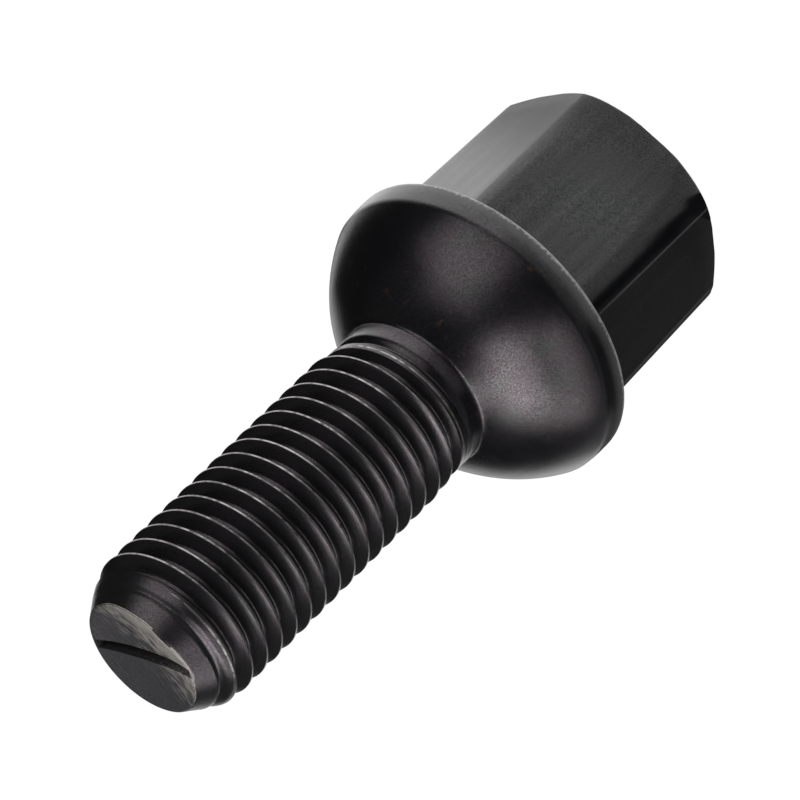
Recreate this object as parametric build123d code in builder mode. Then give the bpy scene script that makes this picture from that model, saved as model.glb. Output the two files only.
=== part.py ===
"""Wheel bolt with a ball seat: one steel piece, standing on its head with the shank up.

The axis is Z. The head's end face lies on Z = 0 and the shank's tip is on top.
The shank is the cylinder over the thread's crests. Sizes are in millimetres and degrees.
"""
import math
import os

from build123d import *

# Hexagon head with rounded corners; its free end is turned to a cone that takes the corners off
hex_across_flats = 17.0
hex_length = 14.6
hex_corner_radius = 1.3
hex_end_d = 17.2
hex_end_angle = 35.0

# Ball seat and the flange that it ends in
seat_radius = 12.5
seat_edge_angle = 64.7
flange_step = 0.25
flange_slope_height = 0.9
flange_band_height = 1.0
flange_edge_radius = 0.3
flange_shoulder_radius = 0.8

# Shank: reach is from the flange's back to the middle of the tip's face
reach = 36.1
neck_d = 11.3
neck_length = 2.6
neck_fillet_radius = 0.35
thread_d = 11.85
run_out_length = 1.7

# Tip: a shallow cone, a steep one in front of it, and a sheared face that leans from the axis
tip_blend_drop = 0.725
tip_blend_angle = 27.7
tip_cone_drop = 0.93
tip_cone_angle = 32.6
tip_lean = 2.9
tip_high_direction = -96.0

# Cup in the tip's face, and a slot across it that stops short of the far rim
tip_cup_rim = 0.3
tip_cup_depth = 0.35
slot_width = 0.67
slot_depth = 1.3
slot_stop = 4.1
slot_direction = 43.2

# Radii and heights that follow from the sizes above
hex_inner_r = hex_across_flats / 2
hex_outer_r = hex_inner_r / math.cos(math.radians(30))
hex_end_r = hex_end_d / 2
seat_edge_r = seat_radius * math.sin(math.radians(seat_edge_angle))
flange_r = seat_edge_r + flange_step
neck_r = neck_d / 2
thread_r = thread_d / 2
tip_cone_r = thread_r - tip_blend_drop
tip_face_r = tip_cone_r - tip_cone_drop
cup_r = tip_face_r - tip_cup_rim
cup_ball_r = (cup_r**2 + tip_cup_depth**2) / (2 * tip_cup_depth)

hex_cone_z = (hex_outer_r - hex_end_r) * math.tan(math.radians(hex_end_angle))
flange_band_z = hex_length + flange_band_height
seat_edge_z = flange_band_z + flange_slope_height
seat_centre_z = seat_edge_z - seat_radius * math.cos(math.radians(seat_edge_angle))
neck_z = seat_centre_z + math.sqrt(seat_radius**2 - neck_r**2)
run_out_z = neck_z + neck_length
tip_z = hex_length + reach
tip_cone_z = tip_z - tip_cone_drop / math.tan(math.radians(tip_cone_angle))
tip_blend_z = tip_cone_z - tip_blend_drop / math.tan(math.radians(tip_blend_angle))

# The turned blank reaches past the leaning face, on the same cone
tip_rise = tip_face_r * math.tan(math.radians(tip_lean))
blank_end_r = tip_face_r - tip_rise * math.tan(math.radians(tip_cone_angle))
blank_end_z = tip_z + tip_rise

# Hexagon head, carried on to the flange's widest height so that the two grow into one
with BuildPart() as head:
    with BuildSketch():
        RegularPolygon(hex_outer_r, 6, rotation=30)
        fillet(vertices(), hex_corner_radius)
    extrude(amount=flange_band_z)
    with BuildSketch(Plane.XZ):
        with BuildLine():
            Polyline(
                (0, 0),
                (hex_end_r, 0),
                (hex_outer_r, hex_cone_z),
                (hex_outer_r, flange_band_z),
                (0, flange_band_z),
                close=True,
            )
        make_face()
    revolve(axis=Axis.Z, mode=Mode.INTERSECT)

# Points of the turned outline that more than one line meets or that a radius rounds
flange_back = (flange_r, hex_length)
flange_shoulder = (flange_r, flange_band_z)
seat_edge = (seat_edge_r, seat_edge_z)
neck_start = (neck_r, neck_z)
seat_middle_angle = (math.radians(seat_edge_angle) + math.asin(neck_r / seat_radius)) / 2
seat_middle = (
    seat_radius * math.sin(seat_middle_angle),
    seat_centre_z + seat_radius * math.cos(seat_middle_angle),
)

# Plane of the sheared face: its normal leans away from the side that stands highest
high_side = math.radians(tip_high_direction)
lean = math.radians(tip_lean)
tip_plane = Plane(
    origin=(0, 0, tip_z),
    x_dir=(-math.sin(high_side), math.cos(high_side), 0),
    z_dir=(
        -math.sin(lean) * math.cos(high_side),
        -math.sin(lean) * math.sin(high_side),
        math.cos(lean),
    ),
)

# Flange, ball seat, neck, shank and tip turned as one outline, with the head, the face and the slot
with BuildPart() as wheel_bolt:
    with BuildSketch(Plane.XZ) as outline:
        with BuildLine():
            Polyline((0, hex_length), flange_back, flange_shoulder, seat_edge)
            ThreePointArc(seat_edge, seat_middle, neck_start)
            Polyline(
                neck_start,
                (neck_r, run_out_z),
                (thread_r, run_out_z + run_out_length),
                (thread_r, tip_blend_z),
                (tip_cone_r, tip_cone_z),
                (blank_end_r, blank_end_z),
                (0, blank_end_z),
                (0, hex_length),
            )
        make_face()
        for corner, corner_radius in (
            (flange_back, flange_edge_radius),
            (flange_shoulder, flange_shoulder_radius),
            (neck_start, neck_fillet_radius),
        ):
            fillet(outline.vertices().sort_by_distance((*corner, 0))[0], corner_radius)
    revolve(axis=Axis.Z)
    add(head.part)
    split(bisect_by=tip_plane, keep=Keep.BOTTOM)
    with Locations(tip_plane.offset(cup_ball_r - tip_cup_depth)):
        Sphere(cup_ball_r, mode=Mode.SUBTRACT)
    with BuildSketch(Plane.XY.offset(tip_z - slot_depth).rotated((0, 0, slot_direction))):
        with Locations((slot_stop, 0)):
            Rectangle(slot_stop + thread_r, slot_width, align=(Align.MAX, Align.CENTER))
    extrude(amount=slot_depth + tip_rise, mode=Mode.SUBTRACT)

wheel_bolt.part.label = "wheel_bolt"

os.makedirs("parts", exist_ok=True)
export_step(wheel_bolt.part, "parts/wheel_bolt.step")
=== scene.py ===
"""Wheel bolt with a ball seat, dressed for its portrait: shape, finish, studio and camera.

Sizes are in millimetres and angles in degrees. They become metres and radians where a mesh, a
lamp or the camera is made. The bolt stands on its head, and +Z runs along its axis to the tip.
"""
from __future__ import annotations

import logging
import math
from dataclasses import dataclass
from enum import Enum
from typing import Any, Union

import bmesh
import bpy
import numpy as np
from mathutils import Matrix, Quaternion, Vector

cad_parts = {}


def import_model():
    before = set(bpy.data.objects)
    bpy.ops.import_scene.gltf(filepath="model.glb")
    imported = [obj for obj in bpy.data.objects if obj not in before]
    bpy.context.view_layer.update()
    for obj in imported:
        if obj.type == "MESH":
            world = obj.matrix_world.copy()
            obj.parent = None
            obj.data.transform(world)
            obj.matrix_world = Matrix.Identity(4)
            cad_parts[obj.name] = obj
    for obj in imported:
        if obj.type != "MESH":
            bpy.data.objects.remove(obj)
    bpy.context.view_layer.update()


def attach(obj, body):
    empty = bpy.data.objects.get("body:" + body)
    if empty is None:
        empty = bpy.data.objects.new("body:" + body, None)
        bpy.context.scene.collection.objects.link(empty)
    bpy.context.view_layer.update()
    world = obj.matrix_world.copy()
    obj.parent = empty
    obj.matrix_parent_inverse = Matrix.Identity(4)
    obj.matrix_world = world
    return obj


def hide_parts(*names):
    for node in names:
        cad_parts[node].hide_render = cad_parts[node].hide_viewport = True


LOG = logging.getLogger("wheel_bolt")
MM = 0.001
FULL_TURN = 2 * math.pi
COLUMNS = 180
HEX_SIDE = 60.0
NOISE_MIDDLE = 0.5
IMAGE_SIZE = 800
Number = Union[int, float, "Field"]
Sizes = Union[float, np.ndarray]
Pair = tuple[float, float]
Colour = tuple[float, float, float, float]


class Side(Enum):
    """The two sides of a socket list in a node tree."""

    INPUT = "INPUT"
    OUTPUT = "OUTPUT"


class SocketKind(Enum):
    """Kinds of the sockets on the thread's tree."""

    COUNT = "NodeSocketInt"
    SIZE = "NodeSocketFloat"
    FINISH = "NodeSocketMaterial"
    SHAPE = "NodeSocketGeometry"


class Mask(Enum):
    """Attributes that tell the finish where it is on the bolt."""

    CREST = "crest"
    END_FACE = "end_face"


def feed(tree: bpy.types.NodeTree, socket: bpy.types.NodeSocket, value: Any) -> None:
    """Sets an input, or links it where the value is a socket or a field.

    Args:
        tree: the tree that the input is in.
        socket: the input.
        value: a plain value, a socket or a field.
    """
    source = value.socket if isinstance(value, Field) else value
    if isinstance(source, bpy.types.NodeSocket):
        tree.links.new(source, socket)
    else:
        socket.default_value = source


class Field:
    """A number in a node tree; sums with it add Math nodes to the tree."""

    def __init__(self, tree: bpy.types.NodeTree, socket: bpy.types.NodeSocket) -> None:
        """Wraps a socket of a tree."""
        self.tree = tree
        self.socket = socket

    def maths(self, operation: str, *others: Number) -> Field:
        """Adds one Math node.

        Args:
            operation: Math node's operation.
            others: its further operands, as numbers or fields.

        Returns:
            The node's result.
        """
        node = self.tree.nodes.new("ShaderNodeMath")
        node.operation = operation
        for index, operand in enumerate((self, *others)):
            feed(self.tree, node.inputs[index], operand)
        return Field(self.tree, node.outputs[0])

    def __add__(self, other: Number) -> Field:
        """Sum."""
        return self.maths("ADD", other)

    def __sub__(self, other: Number) -> Field:
        """Difference."""
        return self.maths("SUBTRACT", other)

    def __mul__(self, other: Number) -> Field:
        """Product."""
        return self.maths("MULTIPLY", other)

    def __truediv__(self, other: Number) -> Field:
        """Quotient."""
        return self.maths("DIVIDE", other)

    def ramp(self, low: Number, high: Number) -> Field:
        """Smooth step from 0 at low to 1 at high.

        Args:
            low: value that gives 0.
            high: value that gives 1.

        Returns:
            The stepped field.
        """
        node = self.tree.nodes.new("ShaderNodeMapRange")
        node.interpolation_type = "SMOOTHSTEP"
        for name, value in (("Value", self), ("From Min", low), ("From Max", high)):
            feed(self.tree, node.inputs[name], value)
        return Field(self.tree, node.outputs["Result"])


class Bench:
    """Adds nodes to a node tree and joins them."""

    def __init__(self, tree: bpy.types.NodeTree) -> None:
        """Holds the tree to work on."""
        self.tree = tree

    def add(
        self, kind: str, inputs: dict[Any, Any] | None = None, **settings: Any
    ) -> bpy.types.Node:
        """Adds a node.

        Args:
            kind: the node's type.
            inputs: values, sockets or fields for its inputs, by name or number.
            settings: the node's own properties.

        Returns:
            The node.
        """
        node = self.tree.nodes.new(kind)
        for name, value in settings.items():
            setattr(node, name, value)
        for name, value in (inputs or {}).items():
            feed(self.tree, node.inputs[name], value)
        return node

    def field(self, socket: bpy.types.NodeSocket) -> Field:
        """Wraps a socket as a field."""
        return Field(self.tree, socket)

    def mix(self, share: Any, first: Any, second: Any) -> bpy.types.NodeSocket:
        """Mixes two colours.

        Args:
            share: how much of the second shows.
            first: colour where the share is 0.
            second: colour where the share is 1.

        Returns:
            The mixed colour.
        """
        node = self.add("ShaderNodeMix", {0: share, 6: first, 7: second}, data_type="RGBA")
        return node.outputs[2]


def fresh_bench(owner: Union[bpy.types.Material, bpy.types.World]) -> Bench:
    """Gives a material or a world an empty node tree.

    Args:
        owner: the material or the world.

    Returns:
        The bench for its tree.
    """
    owner.use_nodes = True
    owner.node_tree.nodes.clear()
    return Bench(owner.node_tree)


def off_axis(bench: Bench, place: bpy.types.NodeSocket) -> Field:
    """Distance from the bolt's axis.

    Args:
        bench: the tree's bench.
        place: coordinates in metres.

    Returns:
        The distance in millimetres.
    """
    axes = bench.add("ShaderNodeSeparateXYZ", {"Vector": place})
    across, along = (bench.field(axes.outputs[name]) / MM for name in "XY")
    return (across * across + along * along).maths("SQRT")


def grey(value: float, warmth: float = 0.0) -> Colour:
    """A grey, as a linear colour.

    Args:
        value: its lightness.
        warmth: share moved from blue to red.

    Returns:
        Red, green, blue and alpha.
    """
    return (value * (1 + warmth), value, value * (1 - warmth), 1.0)


def arc(centre: Pair, radius: float, start: float, end: float, count: int) -> list[Pair]:
    """Points on an arc in a section through the axis.

    Args:
        centre: radius and height of the arc's centre.
        radius: the arc's own radius.
        start: first angle, from the outward direction towards the tip.
        end: last angle.
        count: number of points.

    Returns:
        Radius and height of each point.
    """
    angles = np.radians(np.linspace(start, end, count))
    return [(centre[0] + radius * math.cos(a), centre[1] + radius * math.sin(a)) for a in angles]


def put(name: str, data: Any) -> bpy.types.Object:
    """Puts a mesh, a lamp or a camera in the scene.

    Args:
        name: the object's name.
        data: what it holds.

    Returns:
        The object.
    """
    piece = bpy.data.objects.new(name, data)
    bpy.context.scene.collection.objects.link(piece)
    return piece


def plain_mesh(carrier: bpy.types.Object) -> bpy.types.Mesh:
    """Evaluates an object's modifiers and removes the object.

    Args:
        carrier: the object with its modifiers.

    Returns:
        What the modifiers make, as a mesh.
    """
    graph = bpy.context.evaluated_depsgraph_get()
    mesh = bpy.data.meshes.new_from_object(carrier.evaluated_get(graph))
    carrier.modifiers.clear()
    bpy.data.objects.remove(carrier)
    return mesh


class RingStack:
    """Rings of points around the axis, joined row by row."""

    def __init__(self) -> None:
        """Starts with no ring."""
        self.bearing = np.arange(COLUMNS) * FULL_TURN / COLUMNS
        self.rows: list[np.ndarray] = []

    def add(
        self,
        radius: Sizes,
        height: Sizes,
        shift: Pair = (0.0, 0.0),
        bearing: np.ndarray | None = None,
    ) -> None:
        """Adds a ring.

        Args:
            radius: one radius, or one for each column.
            height: one height, or one for each column.
            shift: how far the ring's centre lies off the axis.
            bearing: the columns' bearings in radians, where they aren't evenly spaced.
        """
        turn = self.bearing if bearing is None else bearing
        across = radius * np.cos(turn) + shift[0]
        along = radius * np.sin(turn) + shift[1]
        self.rows.append(np.stack([across, along, height * np.ones(COLUMNS)], axis=1))

    def mesh(self, name: str, pole: float) -> bpy.types.Mesh:
        """Joins the rings, and closes the last one at a point on the axis.

        Args:
            name: the mesh's name.
            pole: height of the closing point.

        Returns:
            The mesh, in metres.
        """
        points = np.vstack([*self.rows, [[0.0, 0.0, pole]]]) * MM
        faces: list[tuple[int, ...]] = []
        for row in range(len(self.rows) - 1):
            low, high = row * COLUMNS, (row + 1) * COLUMNS
            for column in range(COLUMNS):
                following = (column + 1) % COLUMNS
                faces.append((low + column, high + column, high + following, low + following))
        last = (len(self.rows) - 1) * COLUMNS
        for column in range(COLUMNS):
            faces.append((last + column, len(points) - 1, last + (column + 1) % COLUMNS))
        mesh = bpy.data.meshes.new(name)
        mesh.from_pydata([tuple(p) for p in points], [], faces)
        return mesh


@dataclass
class ThreadedShank:
    """Right-handed thread from the neck's ring to a ring on the tip's cone."""

    # The thread's section, and where a crest crosses +X
    pitch: float = 1.5
    crest_radius: float = 5.92
    root_radius: float = 5.0
    crest_half_width: float = 0.095
    flank_slope: float = 1.732
    crest_rounding: float = 0.06
    root_rounding: float = 0.12
    crest_height_at_x: float = 1.01

    # The neck, and the heights over which crests and grooves grow out of it
    neck_radius: float = 5.65
    foot: float = 22.75
    crest_run_out: Pair = (24.9, 26.6)
    groove_run_out: Pair = (23.3, 25.2)

    # The tip's cone, and the shallower one that leads up to it
    cone_radius: float = 5.2
    cone_height: float = 49.25
    cone_slope: float = 0.64
    blend_slope: float = 0.526
    blend_rounding: float = 0.25
    top: float = 50.0

    # The mesh: rows across a pitch, how far they crowd at crest and root, spare turns, the weld
    rows_per_pitch: int = 20
    crowding: float = 0.62
    spare_turns: int = 2
    weld: float = 0.001

    # Worn crests: half their width, the fade at its edge, and how much of each end has no wear
    worn_half_width: float = 0.075
    worn_fade: float = 0.035
    unworn_ends: float = 0.6

    def top_radius(self) -> float:
        """Radius of the ring on the tip's cone."""
        return self.cone_radius - (self.top - self.cone_height) * self.cone_slope

    def inputs(self) -> dict[str, Any]:
        """Values for the tree's inputs, with lengths in metres.

        Returns:
            The values by name.
        """
        lengths = {
            "Pitch": self.pitch,
            "Crest Radius": self.crest_radius,
            "Root Radius": self.root_radius,
            "Crest Half Width": self.crest_half_width,
            "Crest Rounding": self.crest_rounding,
            "Root Rounding": self.root_rounding,
            "Crest Height": self.crest_height_at_x,
            "Neck Radius": self.neck_radius,
            "Start": self.foot - (self.foot - self.crest_height_at_x) % self.pitch,
            "Foot": self.foot,
            "Top": self.top,
            "Crest Start": self.crest_run_out[0],
            "Crest Full": self.crest_run_out[1],
            "Groove Start": self.groove_run_out[0],
            "Groove Full": self.groove_run_out[1],
            "Cone Radius": self.cone_radius,
            "Cone Height": self.cone_height,
            "Blend Rounding": self.blend_rounding,
        }
        return {
            "Columns": COLUMNS,
            "Rows": self.rows_per_pitch,
            "Turns": math.ceil((self.top - self.foot) / self.pitch) + self.spare_turns,
            "Flank Slope": self.flank_slope,
            "Cone Slope": self.cone_slope,
            "Blend Slope": self.blend_slope,
            "Crowding": self.crowding,
            **{name: length * MM for name, length in lengths.items()},
        }

    def tree(self, steel: bpy.types.Material) -> tuple[bpy.types.NodeTree, dict[str, Any]]:
        """Builds the thread's rule as a geometry tree.

        Args:
            steel: the finish that the tree puts on.

        Returns:
            The tree, and the value of each of its inputs by socket identifier.
        """
        tree = bpy.data.node_groups.new("rolled_thread", "GeometryNodeTree")
        rows = [
            (name, SocketKind.COUNT if isinstance(value, int) else SocketKind.SIZE, value)
            for name, value in self.inputs().items()
        ]
        values: dict[str, Any] = {}
        for name, kind, value in [*rows, ("Finish", SocketKind.FINISH, steel)]:
            socket = tree.interface.new_socket(
                name, in_out=Side.INPUT.value, socket_type=kind.value
            )
            values[socket.identifier] = value
        tree.interface.new_socket(
            "Thread", in_out=Side.OUTPUT.value, socket_type=SocketKind.SHAPE.value
        )
        bench = Bench(tree)
        entry = bench.add("NodeGroupInput")
        size = {name: bench.field(entry.outputs[name]) for name, _, _ in rows}
        grid = bench.add(
            "GeometryNodeMeshGrid",
            {
                "Size X": 1.0,
                "Size Y": 1.0,
                "Vertices X": size["Columns"] * size["Turns"] + 1,
                "Vertices Y": size["Rows"] + 1,
            },
        )
        turns, height = self.spiral(bench, size)
        radius = self.section(size, turns, height)
        angle = turns * FULL_TURN
        spot = bench.add(
            "ShaderNodeCombineXYZ",
            {"X": radius * angle.maths("COSINE"), "Y": radius * angle.maths("SINE"), "Z": height},
        )
        shape = grid.outputs[0]
        for kind, inputs in (
            ("GeometryNodeSetPosition", {"Position": spot.outputs[0]}),
            ("GeometryNodeMergeByDistance", {"Distance": self.weld * MM}),
            ("GeometryNodeRealizeInstances", {}),
            ("GeometryNodeSetMaterial", {"Material": entry.outputs["Finish"]}),
        ):
            shape = bench.add(kind, {"Geometry": shape, **inputs}).outputs[0]
        bench.add("NodeGroupOutput", {"Thread": shape})
        return tree, values

    def spiral(self, bench: Bench, size: dict[str, Field]) -> tuple[Field, Field]:
        """Winds the flat grid up round the axis, its rows crowded at crest and root.

        Args:
            bench: the tree's bench.
            size: the tree's inputs by name.

        Returns:
            How many turns each point has gone round, and its height.
        """
        spot = bench.add("GeometryNodeInputPosition").outputs[0]
        axes = bench.add("ShaderNodeSeparateXYZ", {"Vector": spot})
        turns = (bench.field(axes.outputs["X"]) + 0.5) * size["Turns"]
        across = bench.field(axes.outputs["Y"]) + 0.5
        wave = (across * (2 * FULL_TURN)).maths("SINE")
        across = across - wave * size["Crowding"] / (2 * FULL_TURN)
        height = size["Start"] + size["Pitch"] * (turns + across - 1)
        return turns, height.maths("MAXIMUM", size["Foot"]).maths("MINIMUM", size["Top"])

    def section(self, size: dict[str, Field], turns: Field, height: Field) -> Field:
        """Radius of the thread, with its run-outs at the neck and on the tip's cones.

        Args:
            size: the tree's inputs by name.
            turns: how many turns each point has gone round.
            height: its height.

        Returns:
            The radius at each point.
        """
        phase = (height - size["Crest Height"]) / size["Pitch"] - turns
        offset = (phase - phase.maths("ROUND")).maths("ABSOLUTE") * size["Pitch"]
        flank = size["Crest Radius"] + (size["Crest Half Width"] - offset) * size["Flank Slope"]
        radius = flank.maths("SMOOTH_MIN", size["Crest Radius"], size["Crest Rounding"])
        radius = radius.maths("SMOOTH_MAX", size["Root Radius"], size["Root Rounding"])
        below = size["Cone Height"] - height
        cone = size["Cone Radius"] + below * size["Cone Slope"]
        cone = cone.maths("MINIMUM", size["Cone Radius"] + below * size["Blend Slope"])
        radius = radius.maths("SMOOTH_MIN", cone, size["Blend Rounding"])
        over = radius - size["Neck Radius"]
        raised = over.maths("MAXIMUM", 0.0) * height.ramp(size["Crest Start"], size["Crest Full"])
        sunk = over.maths("MINIMUM", 0.0) * height.ramp(size["Groove Start"], size["Groove Full"])
        return size["Neck Radius"] + raised + sunk

    def mesh(self, steel: bpy.types.Material) -> bpy.types.Mesh:
        """Runs the thread's tree.

        Args:
            steel: the bolt's finish.

        Returns:
            The thread as a plain mesh.
        """
        carrier = put("thread", bpy.data.meshes.new("thread"))
        tree, values = self.tree(steel)
        modifier = carrier.modifiers.new("rolled_thread", "NODES")
        modifier.node_group = tree
        for identifier, value in values.items():
            modifier[identifier] = value
        return plain_mesh(carrier)

    def crest_mask(self, spots: np.ndarray) -> np.ndarray:
        """Marks the thread's worn crests.

        Args:
            spots: points on the bolt.

        Returns:
            1 on a crest and 0 on its flanks.
        """
        height = spots[:, 2]
        bearing = np.arctan2(spots[:, 1], spots[:, 0])
        low = self.groove_run_out[0] + self.unworn_ends
        threaded = (height > low) & (height < self.cone_height - self.unworn_ends)
        phase = (height - self.crest_height_at_x) / self.pitch - bearing / FULL_TURN
        offset = np.abs(phase - np.round(phase)) * self.pitch
        return np.clip((self.worn_half_width - offset) / self.worn_fade, 0, 1) * threaded


@dataclass
class SlottedTip:
    """Sheared end of the shank: cone, raised lip, two dished halves and the slot between them."""

    # The rim: its rounding is a little wider than high, and has a ring at each of these angles
    base: float = 50.5
    rim_radius: float = 4.4
    rim_rounding: float = 0.07
    rim_spread: float = 1.2
    rim_turns: tuple[int, ...] = (10, 35, 60, 85)

    # The rings of the cone, and of the face down to its hub
    cone_rings: int = 7
    cone_crowding: float = 0.8
    face_rings: int = 26
    face_hub: float = 0.04

    # The dish on each side of the slot, how sharply one turns to the other, and how each falls
    near_dish: float = 0.42
    far_dish: float = 0.19
    dish_change: float = 30.0
    dish_fall: int = 3
    lip_fall: float = 1.5

    # The slot, whose floor rises by this much out to the rim
    slot_bearing: float = 43.2
    slot_width: float = 0.67
    slot_depth: float = 1.25
    slot_ends: Pair = (-4.27, 4.1)
    slot_floor_rise: float = 0.5
    slot_headroom: float = 2.0
    slot_steps: int = 25

    # The bare steel: how far below the base and how level, and how far it goes in the slot
    bare_depth: float = 0.62
    bare_facing: float = 0.75
    slot_bare_reach: float = 0.52
    slot_bare_margin: float = 0.1
    slot_bareness: float = 0.5

    # Bearings, and the lip's height over the base there
    lip: tuple[Pair, ...] = (
        (-180.0, 0.14),
        (-166.0, 0.14),
        (-153.0, 0.18),
        (-141.0, 0.15),
        (-133.0, 0.12),
        (-127.0, 0.18),
        (-115.0, 0.28),
        (-102.0, 0.38),
        (-93.0, 0.40),
        (-86.0, 0.36),
        (-78.0, 0.31),
        (-68.0, 0.29),
        (-49.0, 0.20),
        (-36.0, 0.10),
        (-10.0, 0.06),
        (14.0, 0.03),
        (84.0, 0.0),
        (140.0, 0.03),
        (160.0, 0.12),
        (180.0, 0.14),
    )

    def lip_height(self, bearing: np.ndarray) -> np.ndarray:
        """Height of the lip over the base, at bearings in radians."""
        turn = (np.degrees(bearing) + 180) % 360 - 180
        return np.interp(turn, [row[0] for row in self.lip], [row[1] for row in self.lip])

    def mesh(self, shank: ThreadedShank) -> bpy.types.Mesh:
        """Builds the cone and the end face.

        Args:
            shank: the shank that the tip ends.

        Returns:
            The tip's mesh, open where it meets the shank.
        """
        stack = RingStack()
        raised = self.lip_height(stack.bearing)
        rim = self.rim_radius - raised * shank.cone_slope
        rim_height = self.base + raised
        for share in np.linspace(0, 1, self.cone_rings)[:-1] ** self.cone_crowding:
            stack.add(
                shank.top_radius() + (rim - shank.top_radius()) * share,
                shank.top + (rim_height - shank.top) * share,
            )
        lean = math.atan(shank.cone_slope)
        for turn in np.radians(self.rim_turns):
            stack.add(
                rim - self.rim_rounding * (1 - math.cos(turn)) * self.rim_spread,
                rim_height + self.rim_rounding * (math.sin(turn) - 1) * math.cos(lean),
            )
        inner = rim - self.rim_rounding * 2
        across = -np.sin(stack.bearing - math.radians(self.slot_bearing))
        side = 1 / (1 + np.exp(-across * self.dish_change))
        dish = self.far_dish + (self.near_dish - self.far_dish) * side
        for share in np.linspace(1, self.face_hub, self.face_rings):
            drop = dish * (1 - share**self.dish_fall)
            stack.add(inner * share, rim_height - raised * (1 - share**self.lip_fall) - drop)
        return stack.mesh("tip", self.base - self.far_dish)

    def slot_cutter(self) -> bpy.types.Object:
        """Builds the solid that cuts the slot.

        Returns:
            The cutter, a bar with a curved floor that lies across the tip.
        """
        steps = np.linspace(self.slot_ends[0], self.slot_ends[1], self.slot_steps)
        rise = self.slot_floor_rise * (steps / self.rim_radius) ** 2
        floor = self.base - self.slot_depth + rise
        half = self.slot_width / 2
        roof = self.base + self.slot_headroom
        tool = bmesh.new()
        rings = []
        for along, low in zip(steps, floor):
            corners = ((-half, low), (half, low), (half, roof), (-half, roof))
            rings.append([tool.verts.new((along * MM, t * MM, z * MM)) for t, z in corners])
        for first, second in zip(rings[:-1], rings[1:]):
            for corner in range(4):
                following = (corner + 1) % 4
                tool.faces.new((first[corner], first[following], second[following], second[corner]))
        tool.faces.new(rings[0][::-1])
        tool.faces.new(rings[-1])
        bmesh.ops.recalc_face_normals(tool, faces=tool.faces)
        mesh = bpy.data.meshes.new("slot_cutter")
        tool.to_mesh(mesh)
        tool.free()
        mesh.transform(Matrix.Rotation(math.radians(self.slot_bearing), 4, "Z"))
        return put("slot_cutter", mesh)

    def bare_mask(self, centre: np.ndarray, normal: np.ndarray) -> np.ndarray:
        """Marks the sheared face, and the slot's walls and floor at half strength.

        Args:
            centre: the faces' centres, in metres.
            normal: the faces' normals.

        Returns:
            How bare each face is, from 0 to 1.
        """
        turn = math.radians(self.slot_bearing)
        off_slot = np.abs(centre[:, 1] * math.cos(turn) - centre[:, 0] * math.sin(turn)) / MM
        within = np.hypot(centre[:, 0], centre[:, 1]) / MM < self.rim_radius
        in_slot = (off_slot < self.slot_width * self.slot_bare_reach) & within
        height = centre[:, 2] / MM
        over_floor = height > self.base - self.slot_depth - self.slot_bare_margin
        face = (height > self.base - self.bare_depth) & (normal[:, 2] > self.bare_facing)
        return np.where(in_slot, over_floor * self.slot_bareness, face)


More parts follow.
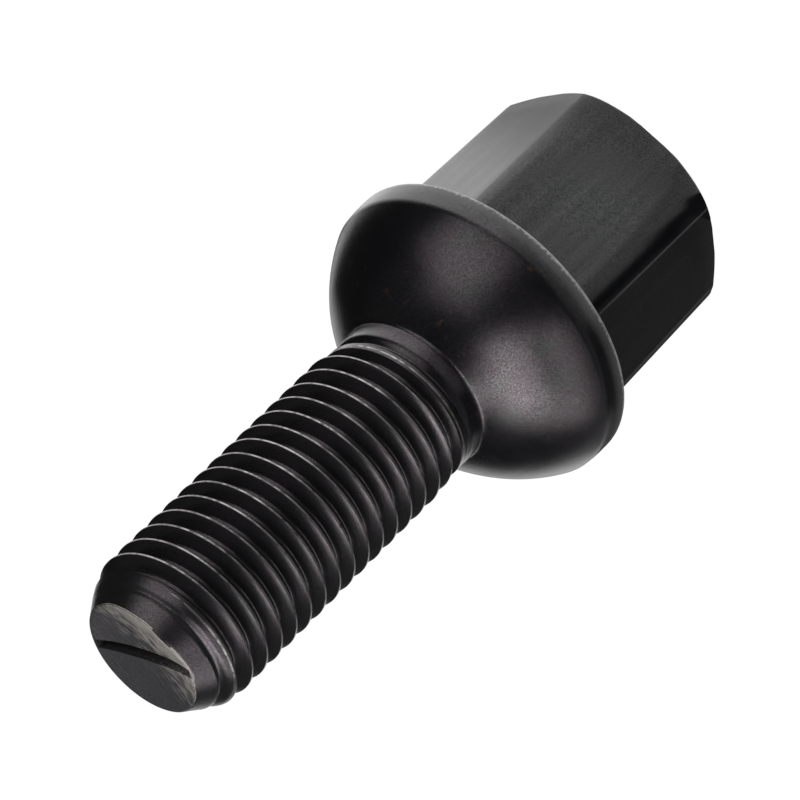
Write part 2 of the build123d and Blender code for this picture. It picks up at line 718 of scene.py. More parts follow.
@dataclass
class SeatAndHead:
    """Neck, ball seat, flange and hexagon head, from the neck's ring down to the end face."""

    # The ball seat and the fillet that leads to the neck, with the points along each
    seat_radius: float = 12.5
    seat_centre: float = 11.17
    seat_edge_angle: float = 65.4
    seat_points: int = 34
    neck_fillet: float = 0.35
    neck_fillet_points: int = 7

    # The flange, which stands a little off the axis; the shift grows in from a radius on the seat
    flange_radius: float = 11.44
    flange_band: float = 15.2
    flange_shoulder: tuple[float, ...] = (0.2, 0.4, 0.6, 0.8)
    flange_edge: float = 0.22
    flange_edge_points: int = 6
    flange_off_axis: float = 0.108
    flange_off_bearing: float = 174.0
    flange_off_from: float = 9.0
    flange_off_over: float = 2.3

    # The hexagon: half its width at the flange and at the end, and its corners at both
    hex_inner: Pair = (8.66, 8.52)
    hex_length: float = 14.46
    hex_rings: int = 10
    hex_rounding: Pair = (1.7, 2.7)
    hex_corner_turn: float = 50.0
    hex_worn_rounding: Pair = (3.0, 3.4)
    hex_worn_turn: float = 58.0
    hex_worn_corner: float = -120.0
    hex_soft_flats: tuple[float, float, float] = (-90.0, 30.0, 150.0)
    hex_turn: float = 0.4
    hex_crease_gap: float = 0.12
    hex_seam_slack: float = 0.001
    hex_foot_fillet: float = 0.35
    hex_foot_turns: tuple[int, ...] = (90, 65, 40, 15, 0)

    # The hexagon's end: a cone from a circle, the bow of the edge round it, and rings inside it
    hex_end_radius: float = 8.6
    hex_end_slope: float = 0.7
    hex_crease: float = 0.1
    hex_crease_bow: Pair = (0.25, 0.45)
    hex_end_insets: tuple[float, float, float] = (0.02, 0.05, 0.3)
    hex_end_margins: Pair = (0.08, 0.13)
    hex_end_lifts: Pair = (0.03, 0.01)
    hex_end_shares: tuple[float, ...] = (0.85, 0.6, 0.3, 0.08)

    def corner(self, level: int, bearing: float) -> tuple[float, float, float]:
        """Shape of a corner: a soft rounding on one flat that ends in a crease on the next.

        Args:
            level: 0 at the flange, 1 at the end.
            bearing: the corner's bearing.

        Returns:
            The rounding's radius, its centre's distance sideways from the soft flat's middle,
            and the crease's angle from there.
        """
        worn = bearing == self.hex_worn_corner
        inner = self.hex_inner[level]
        rounding = (self.hex_worn_rounding if worn else self.hex_rounding)[level]
        turn = math.radians(self.hex_worn_turn if worn else self.hex_corner_turn)
        outwards = inner - rounding + rounding * math.cos(turn)
        sideways = (inner - outwards / 2) / math.cos(math.radians(HEX_SIDE / 2))
        crease = math.degrees(math.atan2(sideways, outwards))
        return rounding, sideways - rounding * math.sin(turn), crease

    def hex_bearings(self, bearing: np.ndarray, level: int) -> np.ndarray:
        """Moves the two columns beside each crease up to it.

        Args:
            bearing: evenly spaced bearings in radians.
            level: 0 at the flange, 1 at the end.

        Returns:
            The bearings in radians.
        """
        even = np.degrees(bearing)
        moved = even.copy()
        for flat in self.hex_soft_flats:
            for side in (-1, 1):
                corner = flat + HEX_SIDE / 2 * side
                middle = (self.corner(0, corner)[2] + self.corner(1, corner)[2]) / 2
                off = (even - flat - self.hex_turn - side * middle + 180) % 360 - 180
                target = flat + self.hex_turn + side * self.corner(level, corner)[2]
                before = np.argmax(np.where(off <= 0, off, -360))
                after = np.argmin(np.where(off > 0, off, 360))
                moved[before] = target - self.hex_crease_gap
                moved[after] = target + self.hex_crease_gap
        return np.radians(moved)

    def hex_radius(self, bearing: np.ndarray, level: int) -> np.ndarray:
        """Radius of the hexagon with its rounded and creased corners.

        Args:
            bearing: bearings in radians; a soft flat faces -Y.
            level: 0 at the flange, 1 at the end.

        Returns:
            The radius at each bearing.
        """
        inner = self.hex_inner[level]
        radius = np.zeros_like(bearing)
        for flat in self.hex_soft_flats:
            off = (np.degrees(bearing) - flat - self.hex_turn + 180) % 360 - 180
            turn = np.radians(np.abs(off))
            for side in (-1, 1):
                rounding, sideways, crease = self.corner(level, flat + HEX_SIDE / 2 * side)
                depth = inner - rounding
                near = depth * np.cos(turn) + sideways * np.sin(turn)
                reach = rounding**2 - depth**2 - sideways**2 + near**2
                rounded = near + np.sqrt(np.maximum(reach, 0.0))
                next_flat = inner / np.cos(math.radians(HEX_SIDE) - turn)
                shape = np.where(turn < math.radians(crease), rounded, next_flat)
                shape = np.where(turn < math.atan2(sideways, inner), inner / np.cos(turn), shape)
                within = turn <= math.radians(HEX_SIDE + self.hex_seam_slack)
                radius = np.where((off * side >= 0) & within, shape, radius)
        return radius

    def turned_outline(self, shank: ThreadedShank) -> list[Pair]:
        """Outline of what is turned, from the neck's ring to the flange's back.

        Args:
            shank: the shank that stands on the neck.

        Returns:
            Radius and height of each point.
        """
        neck = shank.neck_radius
        fillet_r = neck + self.neck_fillet
        reach = self.seat_radius + self.neck_fillet
        fillet_z = self.seat_centre + math.sqrt(reach**2 - fillet_r**2)
        meet = math.degrees(math.asin(fillet_r / reach))
        fillet = (fillet_r, fillet_z)
        points = [(neck, shank.foot)]
        points += arc(fillet, self.neck_fillet, 180, 270 - meet, self.neck_fillet_points)
        seat_end = 90 - self.seat_edge_angle
        ball = arc((0, self.seat_centre), self.seat_radius, 90 - meet, seat_end, self.seat_points)
        points += ball[1:]
        edge_r, edge_z = ball[-1]
        for share in self.flange_shoulder:
            radius = edge_r + (self.flange_radius - edge_r) * (2 * share - share**2)
            points.append((radius, edge_z + (self.flange_band - edge_z) * share))
        back = self.hex_length + self.flange_edge
        points.append((self.flange_radius, self.flange_band))
        points.append((self.flange_radius, self.flange_band + (back - self.flange_band) / 2))
        edge = (self.flange_radius - self.flange_edge, back)
        return points + arc(edge, self.flange_edge, 0, -90, self.flange_edge_points)

    def mesh(self, shank: ThreadedShank) -> bpy.types.Mesh:
        """Builds the neck, the seat, the flange and the head.

        Args:
            shank: the shank that stands on the neck.

        Returns:
            The mesh, open where it meets the shank.
        """
        stack = RingStack()
        off = math.radians(self.flange_off_bearing)
        for radius, height in self.turned_outline(shank):
            grown = min(max((radius - self.flange_off_from) / self.flange_off_over, 0.0), 1.0)
            shift = grown * self.flange_off_axis
            stack.add(radius, height, (shift * math.cos(off), shift * math.sin(off)))
        turns = [self.hex_bearings(stack.bearing, level) for level in (0, 1)]
        top, bottom = (self.hex_radius(turns[level], level) for level in (0, 1))
        for turn in np.radians(self.hex_foot_turns):
            stack.add(
                top + self.hex_foot_fillet * (1 - math.cos(turn)),
                self.hex_length - self.hex_foot_fillet * (1 - math.sin(turn)),
                bearing=turns[0],
            )
        crease = np.maximum(bottom - self.hex_end_radius, 0.0) * self.hex_end_slope
        start = self.hex_length - self.hex_foot_fillet
        stop = crease + self.hex_crease
        for share in np.linspace(0, 1, self.hex_rings)[1:]:
            stack.add(
                top + (bottom - top) * share,
                start + (stop - start) * share,
                bearing=turns[0] + (turns[1] - turns[0]) * share,
            )
        self.add_end(stack, bottom, crease, turns[1])
        return stack.mesh("seat_and_head", 0.0)

    def add_end(
        self, stack: RingStack, outline: np.ndarray, crease: np.ndarray, bearing: np.ndarray
    ) -> None:
        """Adds the rings of the hexagon's end, from its edge in to the end face.

        Args:
            stack: the head's rings.
            outline: the hexagon's radius at the end.
            crease: height at which its sides meet the end's cone.
            bearing: the columns' bearings in radians.
        """
        circle = self.hex_end_radius
        bow_in, bow_up = (share * self.hex_crease for share in self.hex_crease_bow)
        stack.add(outline - bow_in, crease + bow_up, bearing=bearing)
        cone = np.maximum(outline - self.hex_crease, circle - self.hex_end_insets[0])
        cone = np.minimum(cone, outline - self.hex_end_margins[0])
        lift = np.maximum((cone - circle) * self.hex_end_slope, self.hex_end_lifts[0])
        stack.add(cone, lift, bearing=bearing)
        foot = np.minimum(circle - self.hex_end_insets[1], outline - self.hex_end_margins[1])
        stack.add(foot, self.hex_end_lifts[1], bearing=bearing)
        stack.add(circle - self.hex_end_insets[2], 0.0)
        for share in self.hex_end_shares:
            stack.add(circle * share, 0.0)


@dataclass(frozen=True)
class Noise:
    """A noise over the bolt: the size of its blobs, its finer steps and its seed."""

    size: float
    detail: float
    seed: float = 4.0

    def build(self, bench: Bench, place: bpy.types.NodeSocket) -> Field:
        """Adds the noise.

        Args:
            bench: the material's bench.
            place: coordinates to read.

        Returns:
            The noise, from 0 to 1.
        """
        node = bench.add(
            "ShaderNodeTexNoise",
            {"Vector": place, "W": self.seed, "Scale": 1 / (self.size * MM), "Detail": self.detail},
            noise_dimensions="4D",
        )
        return bench.field(node.outputs[0])


@dataclass(frozen=True)
class Skin:
    """What the finish reads at each point: its place and height, three noises and two masks."""

    bench: Bench
    place: bpy.types.NodeSocket
    across: Field
    along: Field
    height: Field
    grain: Field
    mottle: Field
    speckle: Field
    crest: Field
    end_face: Field


@dataclass(frozen=True)
class BlackOxide:
    """Black oxide on steel: satin, grainy, lilac on the seat, worn on crests and rim, sheared, with
    painted fill light on the thread and a partly painted highlight on the sheared face.
    """

    name: str = "black_oxide_steel"

    # Colours: oxide up to the neck, thread oxide lightened as painted fill light, flecks, worn and
    # bare steel, sheared steel whose pale side is partly a painted highlight
    base: Colour = (0.0034, 0.0037, 0.0048, 1.0)
    thread_oxide_with_painted_fill: Colour = (0.0105, 0.0105, 0.0115, 1.0)
    fleck_brown: Colour = (0.026, 0.0165, 0.011, 1.0)
    worn: Colour = grey(0.31, 0.03)
    bare: Colour = grey(0.42, 0.02)
    sheared_dark: tuple[Colour, Colour] = ((0.036, 0.036, 0.040, 1.0), (0.068, 0.067, 0.070, 1.0))
    sheared_pale_and_highlight: Colour = (0.42, 0.395, 0.365, 1.0)

    # The gloss's tint in the grain's low and high places, neutral and lilac
    neutral: tuple[Colour, Colour] = ((0.57, 0.57, 0.575, 1.0), (0.77, 0.77, 0.775, 1.0))
    lilac: tuple[Colour, Colour] = ((0.645, 0.555, 0.60, 1.0), (0.87, 0.745, 0.81, 1.0))

    # How strong the gloss is, how far the grain swings it, and what makes it rougher
    ior: float = 1.755
    ior_swing: float = 0.32
    roughness: float = 0.25
    mottle_rough: float = 0.08
    grain_rough: float = 0.05
    sheared_rough: float = 0.2
    crest_smooth: float = 0.08
    relief_depth: float = 0.01

    # Noises
    grain: Noise = Noise(0.08, 2.0)
    mottle: Noise = Noise(1.6, 4.0)
    speckle: Noise = Noise(0.2, 4.0)
    crest_gaps: Noise = Noise(0.5, 6.0)
    flecks: Noise = Noise(0.7, 6.0)
    bar_marks: Noise = Noise(0.9, 3.0)
    shear_marks: Noise = Noise(0.16, 4.0)

    # Values of a noise between which its effect comes
    grain_step: Pair = (0.36, 0.64)
    crest_step: Pair = (0.32, 0.6)
    fleck_step: Pair = (0.61, 0.68)
    fleck_patch_step: Pair = (0.42, 0.6)
    lilac_step: Pair = (0.25, 0.6)
    shear_step: Pair = (0.36, 0.64)
    dark_step: Pair = (0.3, 0.7)
    corner_line_step: Pair = (0.1, 0.5)

    # Heights between which an effect comes or goes
    corner_line_goes: Pair = (14.3, 13.8)
    streak_goes: Pair = (14.5, 14.3)
    rim_comes: Pair = (14.3, 14.4)
    rim_goes: Pair = (14.86, 14.56)
    band_comes: Pair = (14.3, 14.45)
    band_goes: Pair = (15.75, 14.75)
    lilac_comes: Pair = (15.0, 17.5)
    fleck_comes: Pair = (15.6, 16.6)
    fleck_goes: Pair = (23.4, 22.4)
    # Heights over which the thread's painted fill light comes in
    painted_fill_comes: Pair = (23.5, 25.5)

    # The flange: how ragged its rim's line is, the line's inner radius, and its band's wear
    rim_ragged: float = 0.6
    rim_inner: Pair = (11.0, 11.15)
    band_wear: float = 0.24

    # The corners' lines: where they lie beside a soft flat's middle at the end and at the flange,
    # how far up that is, their width and wear, and how far the worn corner's are shifted
    soft_flat: float = -89.6
    corner_line: Pair = (35.9, 33.6)
    corner_line_length: float = 14.1
    corner_line_width: Pair = (0.9, 0.3)
    corner_line_wear: float = 0.18
    worn_corner: tuple[Pair, Pair] = ((-150.0, -140.0), (-100.0, -110.0))
    worn_corner_shift: float = 4.3

    # The streaks on the flats, and the scratches on the sheared face and its pale side, whose
    # paleness is partly a painted highlight
    streak_stretch: float = 18.0
    streak_depth: float = 1.3
    scratch_bearing: float = 171.0
    scratch_stretch: float = 6.0
    scratch_relief: float = 2.0
    pale_and_highlight_bearing: float = -96.0
    pale_and_highlight_comes: Pair = (-0.2, 4.2)
    pale_and_highlight_ragged: float = 2.4

    def skin(self, bench: Bench) -> Skin:
        """Adds the nodes that more than one part of the finish reads.

        Args:
            bench: the material's bench.

        Returns:
            What they give.
        """
        place = bench.add("ShaderNodeTexCoord").outputs["Object"]
        axes = bench.add("ShaderNodeSeparateXYZ", {"Vector": place})
        across, along, up = (bench.field(axes.outputs[name]) for name in "XYZ")
        noises = (noise.build(bench, place) for noise in (self.grain, self.mottle, self.speckle))
        masks = (
            bench.field(bench.add("ShaderNodeAttribute", attribute_name=mask.value).outputs["Fac"])
            for mask in (Mask.CREST, Mask.END_FACE)
        )
        return Skin(bench, place, across, along, up / MM, *noises, *masks)

    def material(self) -> bpy.types.Material:
        """Builds the finish.

        Returns:
            The material.
        """
        finish = bpy.data.materials.new(self.name)
        bench = fresh_bench(finish)
        skin = self.skin(bench)
        tone = skin.grain.ramp(*self.grain_step) + self.streaks(skin)
        wear = self.wear(skin)
        scratch = self.scratches(skin)
        bump = bench.add(
            "ShaderNodeBump",
            {
                "Height": skin.grain + scratch * skin.end_face * self.scratch_relief,
                "Distance": self.relief_depth * MM,
                "Strength": 1.0,
            },
        )
        shader = bench.add(
            "ShaderNodeBsdfPrincipled",
            {
                "Base Color": self.colour(skin, wear, scratch),
                "Metallic": wear,
                "Roughness": self.rough(skin),
                "Normal": bump.outputs[0],
                "IOR": (tone - NOISE_MIDDLE) * self.ior_swing + self.ior,
                "Specular Tint": self.sheen(skin, tone),
            },
        )
        bench.add("ShaderNodeOutputMaterial", {"Surface": shader.outputs[0]})
        return finish

    def wear(self, skin: Skin) -> Field:
        """Wear on the thread's crests, the hexagon's corners and the flange's band.

        Args:
            skin: what the finish reads.

        Returns:
            How worn the oxide is, from 0 to 1.
        """
        gaps = self.crest_gaps.build(skin.bench, skin.place).ramp(*self.crest_step)
        band = skin.height.ramp(*self.band_goes) * skin.height.ramp(*self.band_comes)
        worn = (skin.crest * gaps).maths("MAXIMUM", self.corner_lines(skin))
        return worn.maths("MAXIMUM", band * self.band_wear)

    def colour(self, skin: Skin, wear: Field, scratch: Field) -> bpy.types.NodeSocket:
        """Colours the oxide, lightened on the thread as painted fill light, the worn steel, the
        rim, the flecks and the sheared face, whose pale side is partly a painted highlight.

        Args:
            skin: what the finish reads.
            wear: how worn the oxide is.
            scratch: the scratches on the sheared face.

        Returns:
            The colour.
        """
        bench, height = skin.bench, skin.height
        # The thread's lighter oxide is painted fill light, standing in for the bounce light its
        # grooves miss.
        oxide = bench.mix(height.ramp(*self.painted_fill_comes), self.base, self.thread_oxide_with_painted_fill)
        colour = bench.mix(wear, oxide, self.worn)
        colour = bench.mix(self.rim_line(skin), colour, self.bare)
        fleck = self.flecks.build(bench, skin.place).ramp(*self.fleck_step)
        fleck = fleck * skin.mottle.ramp(*self.fleck_patch_step)
        fleck = fleck * height.ramp(*self.fleck_comes) * height.ramp(*self.fleck_goes)
        colour = bench.mix(fleck, colour, self.fleck_brown)
        return bench.mix(skin.end_face, colour, self.sheared(skin, scratch))

    def rough(self, skin: Skin) -> Field:
        """Roughness, uneven with the noises, smoother on crests and rougher where sheared.

        Args:
            skin: what the finish reads.

        Returns:
            The roughness.
        """
        middle = self.roughness - (self.mottle_rough + self.grain_rough) * NOISE_MIDDLE
        rough = skin.mottle * self.mottle_rough + skin.grain * self.grain_rough + middle
        return rough + skin.end_face * self.sheared_rough - skin.crest * self.crest_smooth

    def rim_line(self, skin: Skin) -> Field:
        """Bare, speckled line along the flange's outer edge.

        Args:
            skin: what the finish reads.

        Returns:
            How bare the steel is, from 0 to 1.
        """
        ragged = skin.height + (skin.speckle - NOISE_MIDDLE) * self.rim_ragged
        outer = off_axis(skin.bench, skin.place).ramp(*self.rim_inner)
        return ragged.ramp(*self.rim_goes) * outer * skin.height.ramp(*self.rim_comes)

    def corner_lines(self, skin: Skin) -> Field:
        """Faint worn lines where the hexagon's flats run into its rounded corners.

        Args:
            skin: what the finish reads.

        Returns:
            How worn the oxide is, from 0 to 1.
        """
        turn = skin.along.maths("ARCTAN2", skin.across) * (180 / math.pi)
        from_flat = (turn - self.soft_flat).maths("PINGPONG", HEX_SIDE)
        worn = turn.ramp(*self.worn_corner[0]) * turn.ramp(*self.worn_corner[1])
        lean = (self.corner_line[1] - self.corner_line[0]) / self.corner_line_length
        line = skin.height * lean + self.corner_line[0] + worn * self.worn_corner_shift
        on_line = (from_flat - line).maths("ABSOLUTE").ramp(*self.corner_line_width)
        broken = on_line * skin.speckle.ramp(*self.corner_line_step)
        return broken * skin.height.ramp(*self.corner_line_goes) * self.corner_line_wear

    def streaks(self, skin: Skin) -> Field:
        """Soft streaks along the hexagon's flats, as drawn bar has them.

        Args:
            skin: what the finish reads.

        Returns:
            How much lighter or darker than the rest, round 0.
        """
        along = skin.bench.add(
            "ShaderNodeMapping",
            {"Vector": skin.place, "Scale": (1.0, 1.0, self.streak_stretch)},
            vector_type="TEXTURE",
        )
        marks = self.bar_marks.build(skin.bench, along.outputs[0]) - NOISE_MIDDLE
        return marks * skin.height.ramp(*self.streak_goes) * self.streak_depth

    def sheen(self, skin: Skin, tone: Field) -> bpy.types.NodeSocket:
        """Tints the gloss: neutral on the head, and lilac in patches from the flange up.

        Args:
            skin: what the finish reads.
            tone: the fine grain and the streaks, which lie over both.

        Returns:
            The tint.
        """
        patches = skin.mottle.ramp(*self.lilac_step) * skin.height.ramp(*self.lilac_comes)
        low = skin.bench.mix(patches, self.neutral[0], self.lilac[0])
        high = skin.bench.mix(patches, self.neutral[1], self.lilac[1])
        return skin.bench.mix(tone, low, high)

    def scratches(self, skin: Skin) -> Field:
        """Fine parallel scratches across the sheared face.

        Args:
            skin: what the finish reads.

        Returns:
            The scratches, from 0 to 1.
        """
        along = skin.bench.add(
            "ShaderNodeMapping",
            {
                "Vector": skin.place,
                "Rotation": (0.0, 0.0, math.radians(self.scratch_bearing)),
                "Scale": (self.scratch_stretch, 1.0, 1.0),
            },
            vector_type="TEXTURE",
        )
        return self.shear_marks.build(skin.bench, along.outputs[0]).ramp(*self.shear_step)

    def sheared(self, skin: Skin, scratch: Field) -> bpy.types.NodeSocket:
        """Colours the sheared face: dark steel that turns pale and warm towards its high side,
        partly as real pale steel and partly as a painted highlight where that side catches the
        light.

        Args:
            skin: what the finish reads.
            scratch: the scratches.

        Returns:
            The colour.
        """
        turn = math.radians(self.pale_and_highlight_bearing)
        near = skin.across * (math.cos(turn) / MM) + skin.along * (math.sin(turn) / MM)
        ragged = near + scratch * self.pale_and_highlight_ragged - self.pale_and_highlight_ragged / 2
        dark = skin.bench.mix(skin.grain.ramp(*self.dark_step), *self.sheared_dark)
        # The pale side is partly real pale steel and partly a painted highlight.
        return skin.bench.mix(ragged.ramp(*self.pale_and_highlight_comes), dark, self.sheared_pale_and_highlight)


@dataclass
class WheelBolt:
    """The whole bolt, one closed mesh."""

    shank: ThreadedShank
    tip: SlottedTip
    head: SeatAndHead
    finish: BlackOxide
    weld: float = 0.002
    sharp_angle: float = 38.0

    def build(self) -> bpy.types.Object:
        """Joins the parts, cuts the slot and marks the worn places.

        Returns:
            The bolt.
        """
        steel = self.finish.material()
        shell = bmesh.new()
        for mesh in (
            self.shank.mesh(steel),
            self.tip.mesh(self.shank),
            self.head.mesh(self.shank),
        ):
            shell.from_mesh(mesh)
            bpy.data.meshes.remove(mesh)
        bmesh.ops.remove_doubles(shell, verts=shell.verts, dist=self.weld * MM)
        bmesh.ops.recalc_face_normals(shell, faces=shell.faces)
        whole = bpy.data.meshes.new("bolt_blank")
        shell.to_mesh(whole)
        shell.free()
        blank = put("bolt_blank", whole)
        cutter = self.tip.slot_cutter()
        cut = blank.modifiers.new("slot", "BOOLEAN")
        cut.object = cutter
        cut.operation = "DIFFERENCE"
        cut.solver = "EXACT"
        mesh = plain_mesh(blank)
        bpy.data.objects.remove(cutter)
        mesh.name = "dressed_bolt"
        mesh.materials.clear()
        mesh.materials.append(steel)
        mesh.polygons.foreach_set("use_smooth", np.ones(len(mesh.polygons), bool))
        mesh.set_sharp_from_angle(angle=math.radians(self.sharp_angle))
        self.mark(mesh)
        return put("dressed_bolt", mesh)

    def mark(self, mesh: bpy.types.Mesh) -> None:
        """Writes the masks that the finish reads.

        Args:
            mesh: the bolt's mesh.
        """
        spots = self.triples(mesh.vertices, "co") / MM
        centre = self.triples(mesh.polygons, "center")
        normal = self.triples(mesh.polygons, "normal")
        for mask, domain, values in (
            (Mask.CREST, "POINT", self.shank.crest_mask(spots)),
            (Mask.END_FACE, "FACE", self.tip.bare_mask(centre, normal)),
        ):
            layer = mesh.attributes.new(mask.value, "FLOAT", domain)
            layer.data.foreach_set("value", values.astype(np.float32))

    def triples(self, items: bpy.types.bpy_prop_collection, name: str) -> np.ndarray:
        """Reads a property of three numbers from each vertex or face.

        Args:
            items: the vertices or faces.
            name: the property's name.

        Returns:
            One row for each item.
        """
        flat = np.zeros(len(items) * 3, np.float32)
        items.foreach_get(name, flat)
        return flat.reshape(-1, 3)

    def dress(self, bolt: bpy.types.Object) -> None:
        """Puts the bolt in the place of the solid that it stands for.

        Args:
            bolt: the bolt.
        """
        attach(bolt, "root")
        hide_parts("wheel_bolt")


@dataclass(frozen=True)
class Softbox:
    """A soft lamp that looks at the bolt; its angles and half angles are as the bolt sees it."""

    name: str
    bearing: float
    elevation: float
    half_width: float
    half_height: float
    roll: float
    radiance: float
    distance: float = 500.0

    def build(self, target: Vector) -> None:
        """Hangs the lamp.

        Args:
            target: where it points, in metres.
        """
        away = self.distance * MM
        lamp = bpy.data.lights.new(self.name, "AREA")
        lamp.shape = "RECTANGLE"
        lamp.size = 2 * away * math.tan(math.radians(self.half_width))
        lamp.size_y = 2 * away * math.tan(math.radians(self.half_height))
        lamp.energy = self.radiance * math.pi * lamp.size * lamp.size_y
        turn, tilt = math.radians(self.bearing), math.radians(self.elevation)
        level = math.cos(tilt)
        aim = Vector((level * math.cos(turn), level * math.sin(turn), math.sin(tilt)))
        spin = Quaternion((0.0, 0.0, 1.0), math.radians(self.roll))
        box = put(self.name, lamp)
        box.location = target + aim * away
        box.rotation_euler = (aim.to_track_quat("Z", "Y") @ spin).to_euler()
        box.visible_camera = False


@dataclass(frozen=True)
class Card:
    """A flat card: part of a ring between two bearings and two radii, with its glow at each."""

    name: str
    first: float
    last: float
    near: float
    far: float
    glow: float
    far_glow: float


@dataclass
class Studio:
    """White floor and surround, soft lamps, and glowing and dark cards for the bolt to mirror."""

    # What the lamps look at, and how bright the surround is to the bolt
    target_height: float = 20.0
    surround: float = 0.03

    # The floor: half its width, how far it lies below the bolt, its glow and paint, and how much
    # of what is seen is glow, so that the rest can keep the shadow
    floor_half: float = 3000.0
    floor_drop: float = 0.01
    floor_glow: float = 1.09
    floor_paint: float = 0.8
    floor_glow_share: float = 0.9

    # Heights of the cards on the floor and of those under it, and points along a card's edge
    card_height: float = 0.05
    low_card_height: float = -60.0
    card_steps: int = 13

    lamps: tuple[Softbox, ...] = (
        Softbox("lamp_high", -163.9, 53.2, 10.9, 23.6, -64.9, 3.9),
        Softbox("lamp_right", 162.5, 37.5, 9.6, 12.4, 7.0, 2.35),
        Softbox("lamp_low", -169.0, 23.8, 34.7, 7.6, 13.0, 1.75),
        Softbox("lamp_top", 163.0, 63.5, 13.0, 8.0, 0.0, 2.9),
        Softbox("lamp_fill", -134.0, 38.0, 9.0, 9.0, 0.0, 0.7),
        Softbox("lamp_back", 29.0, 52.0, 30.0, 20.0, 0.0, 0.05),
        Softbox("lamp_left", -44.4, 29.7, 16.4, 22.9, 50.9, 0.82),
        Softbox("lamp_left_tall", -56.7, 27.8, 21.4, 34.0, -11.6, 0.68),
    )
    cards: tuple[Card, ...] = (
        Card("card_back_foot", 82.0, 114.0, 8.0, 24.0, 0.15, 0.15),
        Card("card_right_foot", 114.0, 198.0, 8.0, 36.0, 0.09, 0.09),
        Card("card_right_toe", 198.0, 222.0, 8.0, 12.0, 0.09, 0.07),
        Card("card_black_toe", 222.0, 238.0, 8.0, 12.0, 0.03, 0.02),
        Card("card_grey_toe", 238.0, 255.0, 8.0, 12.0, 0.5, 0.5),
        Card("card_right_step", 198.0, 207.0, 12.0, 18.0, 0.07, 0.05),
        Card("card_black_step", 207.0, 231.0, 12.0, 18.0, 0.0, 0.0),
        Card("card_grey_step", 231.0, 255.0, 12.0, 18.0, 0.5, 0.52),
        Card("card_black_foot", 198.0, 222.0, 18.0, 42.0, 0.0, 0.0),
        Card("card_grey_foot", 222.0, 255.0, 18.0, 42.0, 0.54, 0.56),
        Card("card_near_foot", 255.0, 312.0, 8.0, 18.0, 0.62, 1.0),
        Card("card_left_foot", -48.0, 46.0, 8.0, 20.0, 0.7, 1.5),
        Card("card_left_mid", -48.0, 46.0, 20.0, 37.0, 1.5, 1.6),
        Card("card_left_edge", 46.0, 64.0, 8.0, 28.0, 0.5, 0.6),
        Card("card_back_left", 46.0, 76.0, 28.0, 46.0, 0.12, 0.12),
        Card("card_behind", 76.0, 95.0, 24.0, 46.0, 0.25, 0.25),
        Card("card_near_mid", 255.0, 312.0, 18.0, 37.0, 1.0, 1.0),
    )
    low_cards: tuple[Card, ...] = (
        Card("card_right_white", 104.0, 124.0, 90.0, 420.0, 1.15, 1.15),
        Card("card_right_half", 124.0, 150.0, 90.0, 420.0, 0.4, 0.4),
        Card("card_right_dark", 150.0, 186.0, 90.0, 420.0, 0.03, 0.03),
        Card("card_right_far", 104.0, 186.0, 420.0, 2000.0, 0.3, 0.3),
        Card("card_front_dark", 186.0, 222.0, 90.0, 230.0, 0.03, 0.03),
        Card("card_front_half", 222.0, 252.0, 90.0, 230.0, 0.12, 0.12),
        Card("card_front_far", 186.0, 252.0, 230.0, 2000.0, 0.2, 0.2),
        Card("card_near_half", 252.0, 278.0, 90.0, 220.0, 0.3, 0.3),
        Card("card_near_pale", 278.0, 294.0, 90.0, 220.0, 0.8, 0.8),
        Card("card_near_dark", 252.0, 294.0, 220.0, 2000.0, 0.1, 0.1),
        Card("card_left_white", -66.0, 4.0, 90.0, 380.0, 2.0, 0.9),
        Card("card_left_half", 4.0, 64.0, 90.0, 300.0, 1.85, 0.75),
        Card("card_back_white", 64.0, 104.0, 90.0, 2000.0, 0.8, 0.8),
    )

    def build(self) -> None:
        """Sets the studio up."""
        target = Vector((0.0, 0.0, self.target_height * MM))
        for lamp in self.lamps:
            lamp.build(target)
        self.build_floor()
        for card in self.cards:
            self.build_card(card, self.card_height)
        for card in self.low_cards:
            self.build_card(card, self.low_card_height)
        self.build_world()

    def build_floor(self) -> None:
        """Lays the white floor, which keeps a faint shadow.

        Reflections pass through it, so that the bolt mirrors the cards on and under it instead.
        """
        half = self.floor_half
        corners = [(-half, -half), (half, -half), (half, half), (-half, half)]
        paint = bpy.data.materials.new("white_floor")
        bench = fresh_bench(paint)
        path = bench.add("ShaderNodeLightPath")
        seen = bench.field(path.outputs["Is Camera Ray"])
        for ray in ("Is Glossy Ray", "Is Transmission Ray"):
            seen = seen.maths("MAXIMUM", bench.field(path.outputs[ray]))
        share = seen * self.floor_glow_share
        glow = bench.add("ShaderNodeEmission", {"Color": grey(1.0), "Strength": self.floor_glow})
        lit = bench.add("ShaderNodeBsdfDiffuse", {"Color": grey(self.floor_paint)})
        both = bench.add("ShaderNodeMixShader", {0: share, 1: lit.outputs[0], 2: glow.outputs[0]})
        bench.add("ShaderNodeOutputMaterial", {"Surface": both.outputs[0]})
        floor = self.sheet("floor", corners, -self.floor_drop, paint)
        floor.visible_glossy = False

    def build_card(self, card: Card, height: float) -> None:
        """Lays a card for the bolt's sides to mirror, out of the camera's sight.

        Args:
            card: the card.
            height: how high it lies.
        """
        turns = np.radians(np.linspace(card.first, card.last, self.card_steps))
        outline = [
            (radius * math.cos(t), radius * math.sin(t))
            for radius, row in ((card.near, turns), (card.far, turns[::-1]))
            for t in row
        ]
        paint = bpy.data.materials.new(card.name)
        bench = fresh_bench(paint)
        place = bench.add("ShaderNodeTexCoord").outputs["Object"]
        share = off_axis(bench, place).ramp(card.near, card.far)
        strength = share * (card.far_glow - card.glow) + card.glow
        glow = bench.add("ShaderNodeEmission", {"Color": grey(1.0), "Strength": strength})
        bench.add("ShaderNodeOutputMaterial", {"Surface": glow.outputs[0]})
        piece = self.sheet(card.name, outline, height, paint)
        piece.visible_camera = False
        piece.visible_shadow = False
        piece.visible_diffuse = False

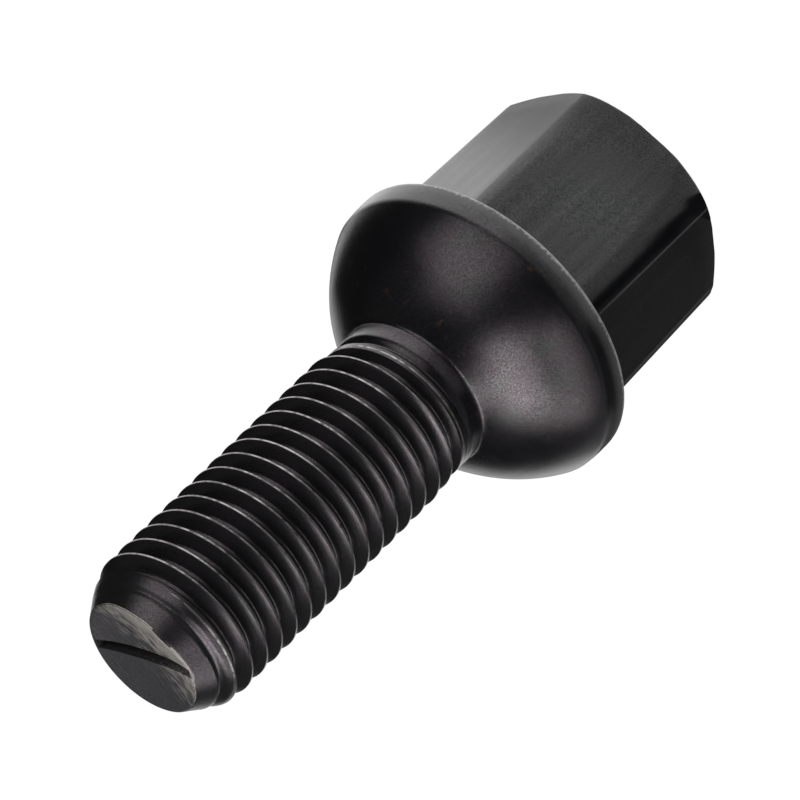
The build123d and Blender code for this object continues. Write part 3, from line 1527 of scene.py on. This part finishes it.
    def build_world(self) -> None:
        """Surrounds the studio: white to the camera, dim to the bolt."""
        world = bpy.data.worlds.new("surround")
        bpy.context.scene.world = world
        bench = fresh_bench(world)
        path = bench.add("ShaderNodeLightPath")
        level = bench.field(path.outputs["Is Camera Ray"]) * (1 - self.surround) + self.surround
        back = bench.add("ShaderNodeBackground", {"Color": grey(1.0), "Strength": level})
        bench.add("ShaderNodeOutputWorld", {"Surface": back.outputs[0]})

    def sheet(
        self, name: str, outline: list[Pair], height: float, paint: bpy.types.Material
    ) -> bpy.types.Object:
        """Lays a flat sheet of the stage.

        Args:
            name: its name.
            outline: its corners.
            height: how high it lies.
            paint: its material.

        Returns:
            The sheet.
        """
        mesh = bpy.data.meshes.new(name)
        corners = [(x * MM, y * MM, height * MM) for x, y in outline]
        mesh.from_pydata(corners, [], [tuple(range(len(outline)))])
        mesh.materials.append(paint)
        piece = put(name, mesh)
        return piece


@dataclass(frozen=True)
class PortraitCamera:
    """Camera that looks down on the bolt with a long lens, turned so the tip points lower left."""

    place: tuple[float, float, float] = (-29.4661, -280.3509, 196.9575)
    right: tuple[float, float, float] = (-0.73605, -0.298042, -0.607784)
    up: tuple[float, float, float] = (0.670961, -0.440162, -0.596715)
    lens: float = 226.1535
    sensor: float = 36.0
    shift_pixels: Pair = (-0.5, 0.5)
    nearest: float = 10.0

    def build(self) -> None:
        """Sets the camera up."""
        lens = bpy.data.cameras.new("portrait")
        lens.sensor_width = self.sensor
        lens.lens = self.lens
        lens.shift_x, lens.shift_y = (pixels / IMAGE_SIZE for pixels in self.shift_pixels)
        lens.clip_start = self.nearest * MM
        camera = put("portrait", lens)
        right, up = Vector(self.right), Vector(self.up)
        turn = Matrix((right, up, right.cross(up))).transposed()
        camera.matrix_world = Matrix.Translation(Vector(self.place) * MM) @ turn.to_4x4()
        bpy.context.scene.camera = camera


def main() -> None:
    """Builds the bolt, the studio and the camera."""
    logging.basicConfig(level=logging.INFO, format="%(name)s: %(message)s")
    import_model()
    bolt = WheelBolt(ThreadedShank(), SlottedTip(), SeatAndHead(), BlackOxide())
    piece = bolt.build()
    bolt.dress(piece)
    LOG.info("%s: %d faces", piece.name, len(piece.data.polygons))
    Studio().build()
    PortraitCamera().build()
    bpy.context.scene.view_settings.view_transform = "Standard"


if __name__ == "__main__":
    main()
